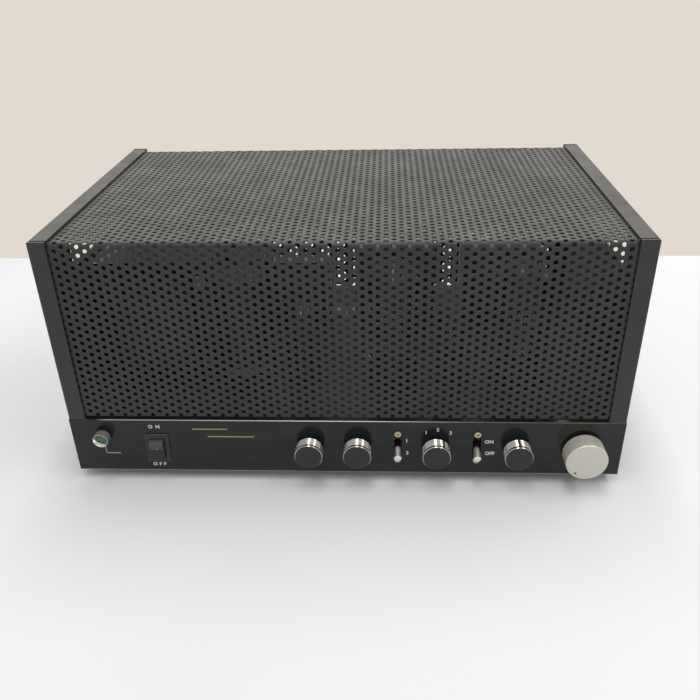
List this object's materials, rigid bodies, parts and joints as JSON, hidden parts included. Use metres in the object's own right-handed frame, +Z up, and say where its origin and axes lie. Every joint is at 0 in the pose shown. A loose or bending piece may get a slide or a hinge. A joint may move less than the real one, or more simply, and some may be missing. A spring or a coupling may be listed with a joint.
{
  "type": "stereo tube amplifier",
  "caption": "Low black stereo tube amplifier: chassis with knobs, lever switches, rocker and pilot lamp, under a lift-off perforated cage with folded sides.",
  "frame": {"origin": "on the ground under the middle of the whole object's box", "axes": "+X to the right seen from the front, along the panel; +Y from the front to the back; +Z up"},
  "size_m": [0.34, 0.2286, 0.162],
  "materials": {
    "chassis_black": "satin black powder coat",
    "panel_black": "satin-gloss black",
    "bottom_zinc": "zinc plated",
    "rubber_black": "moulded rubber",
    "screw_steel": "zinc plated",
    "cage_black": "fine satin black powder coat",
    "mesh_black": "fine satin black powder coat",
    "bright_chrome": "polished",
    "lever_chrome": "polished",
    "lens_green": "clear tinted",
    "switch_black": "semi-gloss",
    "knob_black": "matt",
    "volume_aluminium": "fine turned",
    "control_zinc": "zinc plated",
    "phenolic_brown": "moulded",
    "screw_nickel": "nickel plated",
    "lamination_grey": "varnished",
    "cover_black": "gloss black",
    "yellow_zinc": "yellow passivated",
    "coil_paper": "varnished paper",
    "strap_steel": "zinc plated",
    "can_sleeve": "shrink sleeve",
    "tube_glass": "clear",
    "electrode_grey": "carbonised nickel",
    "board_green": "solder mask",
    "jack_gold": "gold plated",
    "insert_white": "moulded",
    "post_red": "moulded",
    "post_black": "moulded",
    "inlet_black": "moulded",
    "pin_nickel": "nickel plated"
  },
  "bodies": {
    "chassis": {"chassis_tray": "chassis_black", "rear_panel": "chassis_black", "front_panel": "panel_black", "bottom_plate": "bottom_zinc", "rubber_feet": "rubber_black", "case_screws": "screw_steel", "control_nuts": "screw_steel", "power_lamp_barrel": "bright_chrome", "power_lamp_lens": "lens_green", "power_switch_frame": "switch_black", "bass_pot": "control_zinc", "treble_pot": "control_zinc", "balance_pot": "control_zinc", "volume_pot": "control_zinc", "monitor_switch": "control_zinc", "loudness_switch": "control_zinc", "selector_switch": "phenolic_brown", "tube_sockets": "phenolic_brown", "power_tube_bases": "phenolic_brown", "lever_switch_screws": "screw_nickel", "mains_transformer_core": "lamination_grey", "output_transformer_left": "lamination_grey", "output_transformer_right": "lamination_grey", "choke": "lamination_grey", "mains_transformer_covers": "cover_black", "transformer_bolts": "yellow_zinc", "transformer_coils": "coil_paper", "transformer_straps": "strap_steel", "filter_capacitors": "can_sleeve", "power_tube_glass": "tube_glass", "signal_tube_glass": "tube_glass", "power_tube_electrodes": "electrode_grey", "signal_tube_electrodes": "electrode_grey", "circuit_board": "board_green", "input_jacks": "jack_gold", "input_jack_inserts": "insert_white", "speaker_posts_red": "post_red", "speaker_posts_black": "post_black", "mains_inlet": "inlet_black", "fuse_holder": "inlet_black", "mains_inlet_pins": "pin_nickel"},
    "power_rocker": {"power_rocker": "switch_black"},
    "bass": {"bass_knob": "knob_black", "bass_sleeve": "bright_chrome"},
    "treble": {"treble_knob": "knob_black", "treble_sleeve": "bright_chrome"},
    "selector": {"selector_knob": "knob_black", "selector_sleeve": "bright_chrome"},
    "balance": {"balance_knob": "knob_black", "balance_sleeve": "bright_chrome"},
    "volume": {"volume_knob": "volume_aluminium", "volume_shaft": "screw_steel"},
    "monitor_lever": {"monitor_lever": "lever_chrome"},
    "loudness_lever": {"loudness_lever": "lever_chrome"},
    "cage": {"cage_side_left": "cage_black", "cage_side_right": "cage_black", "grille_front": "mesh_black", "grille_top": "mesh_black", "grille_rear": "mesh_black"}
  },
  "joints": [
    {"name": "power_rocker_tilt", "type": "hinge", "parent": "chassis", "child": "power_rocker", "pos_m": [-0.1168, -0.1002, 0.0252], "axis": [-1, 0, 0], "range_deg": [0, 22]},
    {"name": "bass_turn", "type": "hinge", "parent": "chassis", "child": "bass", "pos_m": [-0.021, -0.1007, 0.0265], "axis": [0, 1, 0], "range_deg": [0, 300]},
    {"name": "treble_turn", "type": "hinge", "parent": "chassis", "child": "treble", "pos_m": [0.0087, -0.1007, 0.0265], "axis": [0, 1, 0], "range_deg": [0, 300]},
    {"name": "selector_turn", "type": "hinge", "parent": "chassis", "child": "selector", "pos_m": [0.057, -0.1007, 0.0265], "axis": [0, 1, 0], "range_deg": [-60, 0]},
    {"name": "balance_turn", "type": "hinge", "parent": "chassis", "child": "balance", "pos_m": [0.1065, -0.1007, 0.0265], "axis": [0, 1, 0], "range_deg": [-150, 150]},
    {"name": "volume_turn", "type": "hinge", "parent": "chassis", "child": "volume", "pos_m": [0.146, -0.1007, 0.0265], "axis": [0, 1, 0], "range_deg": [0, 284]},
    {"name": "monitor_tilt", "type": "hinge", "parent": "chassis", "child": "monitor_lever", "pos_m": [0.0335, -0.0927, 0.0279], "axis": [-1, 0, 0], "range_deg": [0, 36]},
    {"name": "loudness_tilt", "type": "hinge", "parent": "chassis", "child": "loudness_lever", "pos_m": [0.082, -0.0927, 0.0279], "axis": [-1, 0, 0], "range_deg": [0, 36]},
    {"name": "cage_lift", "type": "slide", "parent": "chassis", "child": "cage", "axis": [0, 0, 1], "range_m": [0, 0.15]}
  ]
}
